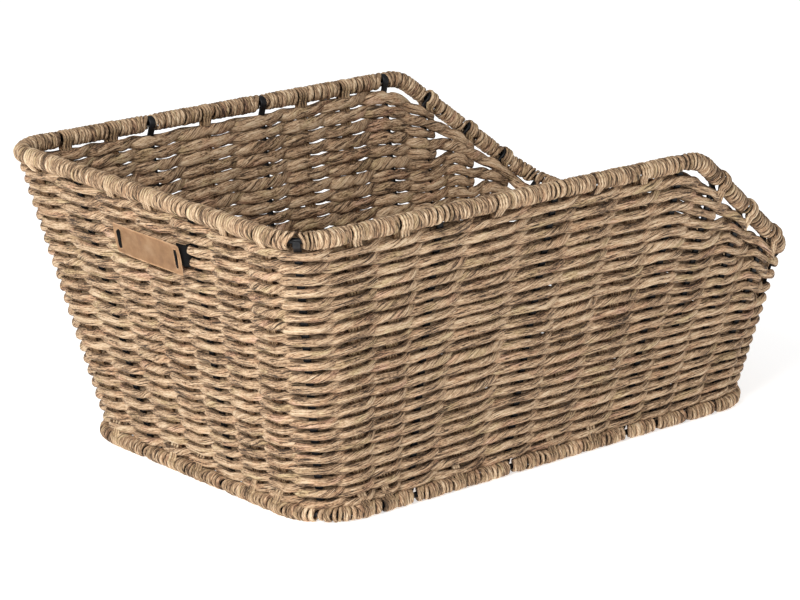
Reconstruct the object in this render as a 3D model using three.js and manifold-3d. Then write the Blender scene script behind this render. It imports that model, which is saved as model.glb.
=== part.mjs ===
// A woven rear carrier basket for a bicycle: high at the rear and sides, sloping down to a low front.
// Millimetres, +Z up, +X towards the low front, origin on the ground under the middle of the rim.

import * as THREE from 'three';
import { mergeVertices } from 'three/addons/utils/BufferGeometryUtils.js';
import Module from 'manifold-3d';

const wasm = await Module();
wasm.setup();

// Rim: a wrapped steel wire, sizes to its centreline
const rimLength = 450;
const rimWidth = 314;
const rimHeight = 200;
const frontRimHeight = 110;
const slopeStart = 113;
const slopeBendRadius = 30;
const rimCornerRadius = 26;
const rimWireRadius = 1.9;
const rimWrapRadius = 6;
const rimWrapSwell = 0.2;
const rimWrapNip = 0.7;

// Base ring: a wrapped steel wire that the basket stands on, sizes to its centreline
const baseLength = 402;
const baseRearWidth = 257;
const baseFrontWidth = 228;
const baseShift = 14.5;
const baseCornerRadius = 37;
const baseCornerSteps = 3;
const baseWireRadius = 1.9;
const baseWrapRadius = 5.75;
const footFlatDepth = 0.5;
const footClearance = 1.3;

// Stakes: flat steel bars and flat bundles of cord that the rows are woven round
const steelWidth = 5;
const steelThickness = 2.2;
const cordWidth = 8;
const cordThickness = 2.6;
const hookWrapThickness = 1.0;
const hookClearance = 0.8;
const hookSeatRamp = 2.2;
const hookSweepStart = -50;
const hookSweepEnd = 85;
const hookSteps = 4;
const floorBendRadius = 5;
const floorBendSteps = 3;
const crossStakeHeight = 4.6;

// Places of the stakes, as fractions of the straight part of each wall, at the rim and at the foot
const sideStakes = [
  { at: 0.045, foot: 0.005, kind: 'cord' },
  { at: 0.14, foot: 0.065, kind: 'cord' },
  { at: 0.22, foot: 0.135, kind: 'steel' },
  { at: 0.335, foot: 0.25, kind: 'cord' },
  { at: 0.455, foot: 0.395, kind: 'steel' },
  { at: 0.54, foot: 0.505, kind: 'cord' },
  { at: 0.635, foot: 0.62, kind: 'cord' },
  { at: 0.725, foot: 0.725, kind: 'steel' },
  { at: 0.81, foot: 0.81, kind: 'steel' },
  { at: 0.90, foot: 0.90, kind: 'steel' },
  { at: 0.985, foot: 0.985, kind: 'steel' },
];
const endStakes = [
  { at: 0.015, kind: 'cord' },
  { at: 0.16, kind: 'cord' },
  { at: 0.315, kind: 'steel' },
  { at: 0.475, kind: 'cord' },
  { at: 0.63, kind: 'cord' },
  { at: 0.80, kind: 'steel' },
  { at: 0.985, kind: 'cord' },
];

// Woven rows, numbered from the base. Some turn back at one of the last three stakes of each side wall.
const rowCount = 22;
const turnBacks = [
  { stake: 9, rows: [18, 20, 22] },
  { stake: 10, rows: [15, 17, 21] },
  { stake: 11, rows: [11, 13, 16] },
];
const rowGap = 0.5;
const strandThickness = 3.4;
const weaveClearance = 1.4;
const cornerHold = 1.1;
const weaveFootGap = 1.8;
const weaveRimGap = 0.4;
const rowEndOverhang = 5;
const rowEndTaper = 0.8;

// Floor strips
const stripThickness = 2;
const stripClearance = 0.5;
const stripSideGap = 1;
const stripEndOverhang = 12;

// Leather tab and its strap on the rear wall
const tabLength = 74;
const tabHeight = 21;
const tabThickness = 1.8;
const tabCornerRadius = 1.5;
const tabCornerSteps = 3;
const tabSideShift = -6;
const tabRimDistance = 33;
const slotHeight = 14;
const slotWidth = 3;
const slotInset = 5.5;
const strapHeight = 12.5;
const strapThickness = 1.2;
const strapOverhang = 5;

// Gap kept between pieces that touch
const seatGap = 0.3;

// Worked out from the sizes above
const ringHeight = baseWrapRadius - footFlatDepth;
const stakeThickness = Math.max(steelThickness, cordThickness);
const strandOffset = stakeThickness / 2 + strandThickness / 2 + weaveClearance;
const stakeInset = baseWireRadius + stakeThickness / 2 + footClearance;
const longStakeHeight = crossStakeHeight + stakeThickness + seatGap;
const hookedWrapRadius = rimWireRadius + seatGap + hookWrapThickness;
const hookPathRadius = hookedWrapRadius + hookClearance + steelThickness / 2;
const hookSeatHalf = steelWidth / 2 + 2 * seatGap;
const weaveBottom = ringHeight + baseWrapRadius + weaveFootGap;
const hookReach = rimWrapRadius + steelThickness;

const steelMaterial = { color: 0x1c1d20, metalness: 0.5, roughness: 0.45 };
const cordMaterial = { color: 0x9b7b52, metalness: 0, roughness: 0.9 };
const weaveMaterial = { color: 0xb99b71, metalness: 0, roughness: 0.85 };
const leatherMaterial = { color: 0xb08659, metalness: 0, roughness: 0.6 };
const strapMaterial = { color: 0x161616, metalness: 0, roughness: 0.8 };

const basket = new THREE.Group();
const radians = THREE.MathUtils.degToRad;
const lerp = THREE.MathUtils.lerp;

function addPiece(name, geometry, material) {
  const mesh = new THREE.Mesh(geometry, new THREE.MeshStandardMaterial(material));
  mesh.name = name;
  basket.add(mesh);
}

// Joins rings of points, all of the same count, into one closed body facing out
function loft(rings, closed) {
  const count = rings[0].length;
  const positions = rings.flatMap((ring) => ring.flatMap((p) => [p.x, p.y, p.z]));
  const faces = [];
  const spans = closed ? rings.length : rings.length - 1;
  for (let i = 0; i < spans; i++) {
    const here = i * count;
    const next = ((i + 1) % rings.length) * count;
    for (let j = 0; j < count; j++) {
      const k = (j + 1) % count;
      faces.push([here + j, here + k, next + k], [here + j, next + k, next + j]);
    }
  }
  if (!closed) {
    const last = (rings.length - 1) * count;
    for (let j = 1; j < count - 1; j++) {
      faces.push([0, j + 1, j], [last, last + j, last + j + 1]);
    }
  }
  const corner = (i) => new THREE.Vector3().fromArray(positions, 3 * i);
  const volume = faces.reduce((sum, [a, b, c]) => sum + corner(a).dot(corner(b).cross(corner(c))), 0);
  if (volume < 0) {
    faces.forEach((face) => face.reverse());
  }
  const geometry = new THREE.BufferGeometry();
  geometry.setAttribute('position', new THREE.Float32BufferAttribute(positions, 3));
  geometry.setIndex(faces.flat());
  return geometry;
}

// The wall: a flaring frustum with rounded corners. A place on its plan loop is a number from 0 to 8,
// counter-clockwise: 0-1 near side, 2-3 front, 4-5 far side, 6-7 rear, and the corners in between.

const wallFoot = {
  rear: baseShift - baseLength / 2 + stakeInset,
  front: baseShift + baseLength / 2 - stakeInset,
  rearHalf: baseRearWidth / 2 - stakeInset,
  frontHalf: baseFrontWidth / 2 - stakeInset,
  corner: baseCornerRadius - stakeInset,
};
const frontLean = (rimLength / 2 - wallFoot.front) / (frontRimHeight - ringHeight);
const wallTop = {
  rear: -rimLength / 2,
  front: wallFoot.front + frontLean * (rimHeight - ringHeight),
  rearHalf: rimWidth / 2,
  frontHalf: rimWidth / 2,
  corner: rimCornerRadius,
};

function outwardAngle(place) {
  const part = Math.floor(place);
  const wall = Math.floor(part / 2);
  const turned = part % 2 === 1 ? place - part : 0;
  return radians(90 * (wall - 1 + turned));
}

function outward(place) {
  const angle = outwardAngle(place);
  return new THREE.Vector3(Math.cos(angle), Math.sin(angle), 0);
}

function wallPoint(place, z, offset = 0) {
  const rise = (z - ringHeight) / (rimHeight - ringHeight);
  const size = (name) => lerp(wallFoot[name], wallTop[name], rise);
  const corner = size('corner');
  const centres = [
    new THREE.Vector3(size('front') - corner, corner - size('frontHalf'), z),
    new THREE.Vector3(size('front') - corner, size('frontHalf') - corner, z),
    new THREE.Vector3(size('rear') + corner, size('rearHalf') - corner, z),
    new THREE.Vector3(size('rear') + corner, corner - size('rearHalf'), z),
  ];
  const part = Math.floor(place) % 8;
  const wall = Math.floor(part / 2);
  const end = centres[wall];
  const centre = part % 2 === 1 ? end : centres[(wall + 3) % 4].clone().lerp(end, place - Math.floor(place));
  return centre.clone().addScaledVector(outward(place), corner + offset);
}

// Side view of the rim: level, a bend, then a straight slope that reaches the front rim at its height
const slopeAngle = Math.atan2(rimHeight - frontRimHeight, rimLength / 2 - slopeStart);
const bendReach = slopeBendRadius * Math.tan(slopeAngle / 2);

function rimProfile(x) {
  const bendStart = slopeStart - bendReach;
  const bendEnd = slopeStart + bendReach * Math.cos(slopeAngle);
  if (x <= bendStart) {
    return rimHeight;
  }
  if (x >= bendEnd) {
    return rimHeight - Math.tan(slopeAngle) * (x - slopeStart);
  }
  return rimHeight - slopeBendRadius + Math.sqrt(slopeBendRadius ** 2 - (x - bendStart) ** 2);
}

// The wall leans, so the height at which it meets the rim is found in rounds that settle quickly
function rimPoint(place) {
  const rounds = 12;
  let z = rimHeight;
  for (let i = 0; i < rounds; i++) {
    z = rimProfile(wallPoint(place, z).x);
  }
  return wallPoint(place, z);
}

// Upward along the wall at a place
function wallUpward(place) {
  return wallPoint(place, rimHeight).sub(wallPoint(place, ringHeight)).normalize();
}

// Centre and direction of a ring's centreline at a place, with the outward and upward directions there
function ringFrame(pointAt, upward, place) {
  const step = 0.002;
  const along = pointAt(place + step).sub(pointAt(place - step)).normalize();
  const up = upward.clone().addScaledVector(along, -upward.dot(along)).normalize();
  return { place, centre: pointAt(place), along, out: along.clone().cross(up), up };
}

function rimFrame(place) {
  return ringFrame(rimPoint, wallUpward(place), place);
}

// The place on the rim that lies a distance further along it
function walkRim(place, distance) {
  const steps = 4 * Math.ceil(Math.abs(distance));
  const probe = 0.0005 * Math.sign(distance);
  let at = place;
  for (let i = 0; i < steps; i++) {
    const speed = rimPoint(at + probe).distanceTo(rimPoint(at)) / Math.abs(probe);
    at += distance / steps / speed;
  }
  return at;
}

function rimMiddle(placeA, placeB) {
  return walkRim(placeA, rimPoint(placeA).distanceTo(rimPoint(placeB)) / 2);
}

function baseFrame(place) {
  return ringFrame((p) => wallPoint(p, ringHeight, stakeInset), new THREE.Vector3(0, 0, 1), place);
}

// Points of a section, given as [outward, upward] pairs, set into a ring's frame
function placeSection({ centre, out, up }, section) {
  return section.map(([o, u]) => centre.clone().addScaledVector(out, o).addScaledVector(up, u));
}

function circleSection(radius, sides) {
  return Array.from({ length: sides }, (_, i) => {
    const angle = (2 * Math.PI * i) / sides;
    return [radius * Math.cos(angle), radius * Math.sin(angle)];
  });
}

// A stake meets the rim at one place and the foot of the wall at another
const nearStake = ({ kind, at, foot }) => ({ kind, place: at, foot });
const farStake = ({ kind, at, foot }) => ({ kind, place: 5 - at, foot: 5 - foot });
const frontStake = ({ kind, at }) => ({ kind, place: 2 + at, foot: 2 + at });
const rearStake = ({ kind, at }) => ({ kind, place: 7 - at, foot: 7 - at });
const cornerStake = (place) => ({ kind: 'steel', place, foot: place });
const onceRound = (stake) => ({ ...stake, place: stake.place + 8, foot: stake.foot + 8 });

// Every stake of the wall in loop order from the front wall on, so that the front opening comes first
const stakes = [
  ...endStakes.map(frontStake),
  cornerStake(3.5),
  ...sideStakes.map(farStake).reverse(),
  cornerStake(5.5),
  ...endStakes.map(rearStake).reverse(),
  cornerStake(7.5),
  ...sideStakes.map(nearStake).map(onceRound),
  cornerStake(9.5),
];

const isCorner = (place) => Math.floor(place) % 2 === 1;

// Where a stake is at a height
function stakePlace({ place, foot }, z) {
  return lerp(foot, place, (z - ringHeight) / (rimPoint(place).z - ringHeight));
}

// Where a stake reaches the rim: its direction, and the place on the rim that it is bent round
function stakeTop({ place, foot }) {
  const top = rimPoint(place);
  const upward = top.clone().sub(wallPoint(foot, ringHeight)).normalize();
  const frame = rimFrame(place);
  const reach = hookReach / frame.up.dot(upward);
  const hook = rimFrame(walkRim(place, -reach * upward.dot(frame.along)));
  return { top, upward, reach, hook };
}

// Rim wire and its wrapping, open below where the stakes come in. The wrapping is thin on the side of the
// wire that a steel stake goes up: inside, and at the corners outside.

const boreRadius = rimWireRadius + seatGap / Math.cos(Math.PI / 6);

function wrapSection(outerRadius, innerRadius) {
  const start = Math.asin(boreRadius / outerRadius) - Math.PI / 2;
  const end = 1.5 * Math.PI - Math.asin(boreRadius / innerRadius);
  const halfSteps = 3;
  const outer = Array.from({ length: 2 * halfSteps }, (_, i) => {
    const angle = lerp(start, end, i / (2 * halfSteps - 1));
    const radius = i < halfSteps ? outerRadius : innerRadius;
    return [radius * Math.cos(angle), radius * Math.sin(angle)];
  });
  const bore = [180, 120, 60, 0].map((degrees) => {
    return [boreRadius * Math.cos(radians(degrees)), boreRadius * Math.sin(radians(degrees))];
  });
  return [...outer, ...bore];
}

function rimStations() {
  const stations = [];
  const addStation = (frame, outer, inner) => stations.push({ frame, outer, inner });
  stakes.forEach((stake, i) => {
    const { hook } = stakeTop(stake);
    const shifted = (distance) => rimFrame(walkRim(hook.place, distance));
    if (stake.kind === 'steel') {
      const full = hookSeatHalf + hookSeatRamp;
      const outer = isCorner(stake.place) ? hookedWrapRadius : rimWrapRadius;
      const inner = isCorner(stake.place) ? rimWrapRadius : hookedWrapRadius;
      addStation(shifted(-full), rimWrapRadius, rimWrapRadius);
      addStation(shifted(-hookSeatHalf), outer, inner);
      addStation(shifted(hookSeatHalf), outer, inner);
      addStation(shifted(full), rimWrapRadius, rimWrapRadius);
    } else {
      addStation(hook, rimWrapRadius - rimWrapNip, rimWrapRadius - rimWrapNip);
    }
    const next = stakes[i + 1] ?? onceRound(stakes[0]);
    const middle = (hook.place + stakeTop(next).hook.place) / 2;
    addStation(rimFrame(middle), rimWrapRadius + rimWrapSwell, rimWrapRadius + rimWrapSwell);
  });
  return stations;
}

// Leaves out the frames that lie on a straight line between their neighbours
function bentOnly(frames) {
  const bend = 0.0005;
  return frames.filter((frame, i) => {
    const before = frames[(i + frames.length - 1) % frames.length].centre;
    const after = frames[(i + 1) % frames.length].centre;
    const arriving = frame.centre.clone().sub(before).normalize();
    const leaving = after.clone().sub(frame.centre).normalize();
    return arriving.dot(leaving) < 1 - bend * bend;
  });
}

function makeRim() {
  const stations = rimStations();
  const frames = stations.map((station) => station.frame);
  const wire = circleSection(rimWireRadius, 6);
  addPiece('rim_wire', loft(bentOnly(frames).map((frame) => placeSection(frame, wire)), true), steelMaterial);
  const wrap = stations.map(({ frame, outer, inner }) => placeSection(frame, wrapSection(outer, inner)));
  addPiece('rim_wrap', loft(wrap, true), weaveMaterial);
}

// Base ring: the wrapping is cut flat below, where it rests, and open inwards, where the stakes go by

function footSection() {
  const bore = baseWireRadius + seatGap / Math.cos(Math.PI / 6);
  const inner = -baseWireRadius - seatGap / 2;
  const flatHalf = Math.sqrt(baseWrapRadius ** 2 - ringHeight ** 2);
  const outer = [-30, 5, 40, 80].map((degrees) => {
    return [baseWrapRadius * Math.cos(radians(degrees)), baseWrapRadius * Math.sin(radians(degrees))];
  });
  return [
    [inner, -ringHeight],
    [flatHalf, -ringHeight],
    ...outer,
    [inner, bore],
    [bore / 2, bore],
    [bore, 0],
    [bore / 2, -bore],
    [inner, -bore],
  ];
}

function makeBaseRing() {
  const frames = [];
  stakes.forEach((stake, i) => {
    const next = stakes[i + 1] ?? onceRound(stakes[0]);
    const steps = isCorner(stake.place) || isCorner(next.place) ? baseCornerSteps : 1;
    for (let step = 0; step < steps; step++) {
      frames.push(baseFrame(lerp(stake.foot, next.foot, step / steps)));
    }
  });
  const bent = bentOnly(frames);
  const wire = circleSection(baseWireRadius, 6);
  addPiece('base_wire', loft(bent.map((frame) => placeSection(frame, wire)), true), steelMaterial);
  const wrap = bent.map((frame) => placeSection(frame, footSection()));
  addPiece('base_wrap', loft(wrap, true), weaveMaterial);
}

// Stakes

const barSection = [
  [-steelWidth / 2, -steelThickness / 2],
  [steelWidth / 2, -steelThickness / 2],
  [steelWidth / 2, steelThickness / 2],
  [-steelWidth / 2, steelThickness / 2],
];
const bundleSection = [
  [-cordWidth / 2, 0],
  [0, -cordThickness / 2],
  [cordWidth / 2, 0],
  [0, cordThickness / 2],
];

// Sweeps a flat section along points that each say which way the section's width lies
function sweepFlat(path, section) {
  const rings = path.map(({ point, wide }, i) => {
    const before = path[Math.max(i - 1, 0)].point;
    const after = path[Math.min(i + 1, path.length - 1)].point;
    const along = after.clone().sub(before).normalize();
    const width = wide.clone().addScaledVector(along, -wide.dot(along)).normalize();
    const thick = along.clone().cross(width);
    return section.map(([w, t]) => point.clone().addScaledVector(width, w).addScaledVector(thick, t));
  });
  return loft(rings, false);
}

// From the rim down to a height. A steel stake is bent round the wire up to its top, on the inside of the
// wire or, at the corners, on the outside. A cord stake starts just below the wire.
function stakeWallPath(stake, bottom) {
  const { top, upward, reach, hook } = stakeTop(stake);
  const wide = new THREE.Vector3(0, 0, 1).cross(outward(stake.place));
  const path = [];
  if (stake.kind === 'steel') {
    const side = isCorner(stake.place) ? 1 : -1;
    for (let i = 0; i <= hookSteps; i++) {
      const angle = radians(lerp(hookSweepEnd, hookSweepStart, i / hookSteps));
      const point = hook.centre.clone();
      point.addScaledVector(hook.out, side * hookPathRadius * Math.cos(angle));
      point.addScaledVector(hook.up, hookPathRadius * Math.sin(angle));
      path.push({ point, wide: hook.along });
    }
    path.push({ point: top.clone().addScaledVector(upward, -reach), wide });
  } else {
    const tilt = Math.abs(upward.dot(hook.along));
    const clear = rimWireRadius + seatGap + (cordWidth / 2) * tilt;
    path.push({ point: top.clone().addScaledVector(upward, -clear), wide });
  }
  path.push({ point: wallPoint(stakePlace(stake, bottom), bottom), wide });
  return path;
}

// Where a stake that lies at a level in the floor leaves the wall
function wallFootPoint(stake, level) {
  const z = level + floorBendRadius;
  return wallPoint(stakePlace(stake, z), z);
}

// Turns from the wall's foot into the floor, ending at the floor's level
function floorBend(stake, level) {
  const inward = outward(stake.place).negate();
  const wide = new THREE.Vector3(0, 0, 1).cross(outward(stake.place));
  const start = wallFootPoint(stake, level);
  return Array.from({ length: floorBendSteps }, (_, i) => {
    const angle = ((i + 1) / floorBendSteps) * (Math.PI / 2);
    const point = start.clone().addScaledVector(inward, floorBendRadius * (1 - Math.cos(angle)));
    point.z = start.z - floorBendRadius * Math.sin(angle);
    return { point, wide };
  });
}

// One stake that runs down a wall, under the floor and up the wall across from it
function hoopPath(stakeA, stakeB, level) {
  const straight = level + floorBendRadius;
  const down = [...stakeWallPath(stakeA, straight), ...floorBend(stakeA, level)];
  const up = [...stakeWallPath(stakeB, straight), ...floorBend(stakeB, level)].reverse();
  return [...down, ...up.map(({ point, wide }) => ({ point, wide: wide.clone().negate() }))];
}

function addStake(name, path, kind) {
  const steel = kind === 'steel';
  addPiece(name, sweepFlat(path, steel ? barSection : bundleSection), steel ? steelMaterial : cordMaterial);
}

const number = (i) => String(i + 1).padStart(2, '0');

function makeStakes() {
  sideStakes.forEach((stake, i) => {
    const path = hoopPath(nearStake(stake), farStake(stake), crossStakeHeight);
    addStake(`cross_stake_${number(i)}`, path, stake.kind);
  });
  endStakes.forEach((stake, i) => {
    const path = hoopPath(rearStake(stake), frontStake(stake), longStakeHeight);
    addStake(`long_stake_${number(i)}`, path, stake.kind);
  });
  [1.5, 3.5, 5.5, 7.5].forEach((place, i) => {
    addStake(`corner_stake_${number(i)}`, stakeWallPath(cornerStake(place), crossStakeHeight), 'steel');
  });
}

// Woven rows: each strand goes outside one stake and inside the next, and its neighbours do the opposite.
// Beside a corner stake the strand keeps to its side for a while, so that it clears the stake's edges.

const frontCorner = 1.5;

// How far a place is along its side wall from the rear: 0 on the rear wall, past 1 on the front corner
function alongSide(place) {
  const loop = place % 8;
  return THREE.MathUtils.clamp(loop < 2.5 ? loop : 5 - loop, 0, frontCorner);
}

// How much of a row there is at a place: it fades from the stake it turns back at to the next one
function presence(row, place) {
  const end = turnBacks.find(({ rows }) => rows.includes(row + 1));
  if (!end) {
    return 1;
  }
  const last = sideStakes[end.stake - 1].at;
  const next = sideStakes[end.stake]?.at ?? frontCorner;
  return 1 - THREE.MathUtils.clamp((alongSide(place) - last) / (next - last), 0, 1);
}

// The rows share the height between the base ring and the rim
function rowLevels(row, place) {
  const { top, upward, reach } = stakeTop({ place, foot: place });
  const weaveTop = top.z - reach * upward.z - weaveRimGap;
  const shares = Array.from({ length: rowCount }, (_, i) => presence(i, place));
  const total = shares.reduce((sum, share) => sum + share, 0);
  const below = shares.slice(0, row).reduce((sum, share) => sum + share, 0);
  const level = (share) => lerp(weaveBottom, weaveTop, share / total);
  return [level(below) + rowGap / 2, level(below + shares[row]) - rowGap / 2];
}

function strandRing(row, place, offset, taper = 0) {
  const inner = offset - strandThickness / 2;
  const outer = offset + strandThickness / 2;
  const [low, high] = rowLevels(row, place);
  return [
    wallPoint(place, low + taper, inner),
    wallPoint(place, low + taper, outer),
    wallPoint(place, high - taper, outer),
    wallPoint(place, high - taper, inner),
  ];
}

// The stakes that a row passes, each with its place at the row's height and the side the row takes there
function passedStakes(row) {
  const passed = stakes.map((stake, index) => {
    const [low, high] = rowLevels(row, stake.place);
    const place = stakePlace(stake, (low + high) / 2);
    return { place, side: (index + row) % 2 === 0 ? 1 : -1 };
  });
  const whole = 0.999;
  return passed.filter(({ place }) => presence(row, place) > whole);
}

function rowRings(row, passed) {
  const rings = [];
  passed.forEach(({ place, side }, i) => {
    rings.push(strandRing(row, place, side * strandOffset));
    const next = passed[i + 1];
    if (next && (isCorner(place) || isCorner(next.place))) {
      const hold = isCorner(place) ? side * cornerHold : -side * cornerHold;
      rings.push(strandRing(row, rimMiddle(place, next.place), hold));
    }
  });
  return rings;
}

// The tapered end of a row, a little way past its last stake
function overhang(row, { place, side }, direction) {
  return strandRing(row, walkRim(place, direction * rowEndOverhang), side * strandOffset, rowEndTaper);
}

function makeRows() {
  for (let row = 0; row < rowCount; row++) {
    const passed = passedStakes(row);
    const whole = passed.length === stakes.length;
    let geometry;
    if (whole) {
      const first = { ...passed[0], place: passed[0].place + 8 };
      geometry = loft(rowRings(row, [...passed, first]).slice(0, -1), true);
    } else {
      const start = overhang(row, passed[0], -1);
      const end = overhang(row, passed[passed.length - 1], 1);
      geometry = loft([start, ...rowRings(row, passed), end], false);
    }
    addPiece(`weaver_row_${number(row)}`, geometry, weaveMaterial);
  }
}

// Floor strips: flat weavers between the lengthwise stakes, over and under the crosswise ones

const baseSpan = wallFoot.front - wallFoot.rear;

function makeFloor() {
  const level = crossStakeHeight;
  const lift = stakeThickness / 2 + stripThickness / 2 + stripClearance;
  const rear = endStakes.map((stake) => wallFootPoint(rearStake(stake), longStakeHeight).y);
  const front = endStakes.map((stake) => wallFootPoint(frontStake(stake), longStakeHeight).y);
  const edge = floorBendRadius + stakeThickness;
  const rearLines = [edge - wallFoot.rearHalf, ...rear, wallFoot.rearHalf - edge];
  const frontLines = [edge - wallFoot.frontHalf, ...front, wallFoot.frontHalf - edge];
  const crossings = sideStakes.map((stake) => wallFootPoint(nearStake(stake), crossStakeHeight).x);
  const ends = [crossings[0] - stripEndOverhang, crossings[crossings.length - 1] + stripEndOverhang];
  const clear = cordWidth / 2 + stripSideGap;
  for (let i = 0; i < rearLines.length - 1; i++) {
    const lineY = (lines, x) => lerp(rearLines[lines], frontLines[lines], (x - wallFoot.rear) / baseSpan);
    const ringAt = (x, z) => {
      const low = lineY(i, x) + clear;
      const high = lineY(i + 1, x) - clear;
      return [
        new THREE.Vector3(x, low, z - stripThickness / 2),
        new THREE.Vector3(x, high, z - stripThickness / 2),
        new THREE.Vector3(x, high, z + stripThickness / 2),
        new THREE.Vector3(x, low, z + stripThickness / 2),
      ];
    };
    const lifted = (j) => level + ((i + j) % 2 === 0 ? lift : -lift);
    const rings = crossings.map((x, j) => ringAt(x, lifted(j)));
    rings.unshift(ringAt(ends[0], lifted(0)));
    rings.push(ringAt(ends[1], lifted(crossings.length - 1)));
    addPiece(`floor_strip_${number(i)}`, loft(rings, false), weaveMaterial);
  }
}

// Leather tab with two slots, on a strap that lies against the rear wall's weave

const tabFrame = (() => {
  const foot = wallPoint(6.5, ringHeight);
  const top = wallPoint(6.5, rimHeight);
  const up = new THREE.Vector3(top.x - foot.x, 0, top.z - foot.z).normalize();
  const along = new THREE.Vector3(0, -1, 0);
  const out = along.clone().cross(up);
  const centre = wallPoint(6.5, rimHeight - tabRimDistance);
  centre.y = tabSideShift;
  return new THREE.Matrix4().makeBasis(along, up, out).setPosition(centre);
})();

function roundedRectangle(length, height, radius, steps) {
  const outline = [];
  [[1, -1], [1, 1], [-1, 1], [-1, -1]].forEach(([sideX, sideY], corner) => {
    for (let i = 0; i <= steps; i++) {
      const angle = radians(90 * (corner - 1 + i / steps));
      const x = sideX * (length / 2 - radius) + radius * Math.cos(angle);
      const y = sideY * (height / 2 - radius) + radius * Math.sin(angle);
      outline.push(new THREE.Vector2(x, y));
    }
  });
  return new THREE.Shape(outline);
}

function solidOf(geometry) {
  const bare = geometry.clone();
  bare.deleteAttribute('normal');
  bare.deleteAttribute('uv');
  const merged = mergeVertices(bare);
  const triVerts = new Uint32Array(merged.index.array);
  const vertProperties = new Float32Array(merged.attributes.position.array);
  return new wasm.Manifold(new wasm.Mesh({ numProp: 3, vertProperties, triVerts }));
}

function geometryOf(solid) {
  const mesh = solid.getMesh();
  const geometry = new THREE.BufferGeometry();
  geometry.setAttribute('position', new THREE.BufferAttribute(mesh.vertProperties, 3));
  geometry.setIndex(new THREE.BufferAttribute(mesh.triVerts, 1));
  return geometry;
}

function makeTab() {
  const weaveFace = strandOffset + strandThickness / 2 + seatGap;
  const tabBack = weaveFace + strapThickness + seatGap;
  const outline = roundedRectangle(tabLength, tabHeight, tabCornerRadius, tabCornerSteps);
  const blank = new THREE.ExtrudeGeometry(outline, { depth: tabThickness, bevelEnabled: false });
  let tab = solidOf(blank.translate(0, 0, tabBack));
  [-1, 1].forEach((end) => {
    const cutter = new THREE.BoxGeometry(slotWidth, slotHeight, 3 * tabThickness);
    cutter.translate(end * (tabLength / 2 - slotInset), 0, tabBack + tabThickness / 2);
    tab = tab.subtract(solidOf(cutter));
  });
  addPiece('label_tab', geometryOf(tab).applyMatrix4(tabFrame), leatherMaterial);

  // The strap turns out through both slots, flush with the tab's face, and one end goes past the tab
  const reach = tabLength / 2 - slotInset;
  const half = strapThickness / 2;
  const face = tabBack + tabThickness;
  const strapFace = weaveFace + strapThickness;
  const strapEnd = tabLength / 2 + strapOverhang;
  const strap = new THREE.Shape();
  strap.moveTo(-reach - half, weaveFace).lineTo(strapEnd, weaveFace).lineTo(strapEnd, strapFace);
  strap.lineTo(reach + half, strapFace).lineTo(reach + half, face);
  strap.lineTo(reach - half, face).lineTo(reach - half, strapFace);
  strap.lineTo(half - reach, strapFace).lineTo(half - reach, face);
  strap.lineTo(-reach - half, face).closePath();
  const band = new THREE.ExtrudeGeometry(strap, { depth: strapHeight, bevelEnabled: false });
  band.translate(0, 0, -strapHeight / 2).rotateX(Math.PI / 2);
  addPiece('label_strap', band.applyMatrix4(tabFrame), strapMaterial);
}

makeRim();
makeBaseRing();
makeStakes();
makeRows();
makeFloor();
makeTab();

export default basket;
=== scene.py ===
"""A woven rear carrier basket, dressed for rendering.

Sizes are in millimetres and angles in degrees. Meshes are made in metres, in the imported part's own frame:
+X towards the low front, +Z up, origin on the ground under the middle of the rim.
"""

import math

import bmesh
import bpy
import numpy as np
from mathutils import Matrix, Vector


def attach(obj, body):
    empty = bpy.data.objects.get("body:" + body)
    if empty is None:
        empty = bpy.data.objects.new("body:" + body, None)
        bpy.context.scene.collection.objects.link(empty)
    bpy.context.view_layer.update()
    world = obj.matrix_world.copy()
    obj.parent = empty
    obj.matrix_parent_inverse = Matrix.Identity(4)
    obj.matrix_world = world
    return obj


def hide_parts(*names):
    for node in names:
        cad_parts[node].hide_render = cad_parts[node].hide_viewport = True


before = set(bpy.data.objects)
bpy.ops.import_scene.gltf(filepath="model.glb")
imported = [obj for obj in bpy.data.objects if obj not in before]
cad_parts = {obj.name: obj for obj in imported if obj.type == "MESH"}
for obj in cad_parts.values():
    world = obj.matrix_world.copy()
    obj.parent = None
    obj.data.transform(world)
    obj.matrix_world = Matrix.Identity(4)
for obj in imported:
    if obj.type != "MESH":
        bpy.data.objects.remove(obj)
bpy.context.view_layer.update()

# Camera: a long lens from the rear left corner, a little above the rim, as in the photograph.

VIEW_AZIMUTH = -39.3
VIEW_ELEVATION = 16.3
VIEW_DISTANCE = 2516.0
LOOK_AT = (-15.3, -1.8, 91.7)
LENS = 166.5
SENSOR_WIDTH = 36.0
CLIP_END = 50.0
METRES = 0.001


def add_object(name, data):
    """A new object in the scene."""
    made = bpy.data.objects.new(name, data)
    bpy.context.scene.collection.objects.link(made)
    return made


azimuth = math.radians(VIEW_AZIMUTH)
elevation = math.radians(VIEW_ELEVATION)
backward = Vector((
    math.sin(azimuth) * math.cos(elevation),
    -math.cos(azimuth) * math.cos(elevation),
    math.sin(elevation),
))
camera_data = bpy.data.cameras.new("camera")
camera_data.lens = LENS
camera_data.sensor_width = SENSOR_WIDTH
camera_data.clip_end = CLIP_END
camera = add_object("camera", camera_data)
camera.location = (Vector(LOOK_AT) + backward * VIEW_DISTANCE) * METRES
camera.rotation_euler = backward.to_track_quat("Z", "Y").to_euler()
bpy.context.scene.camera = camera

# Base ring wire: a closed ring of 4 mm black coated steel wire that the basket stands on.
# It lies just outside the wall's foot, inside its wrapping, and shows only in the notches.

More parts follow.
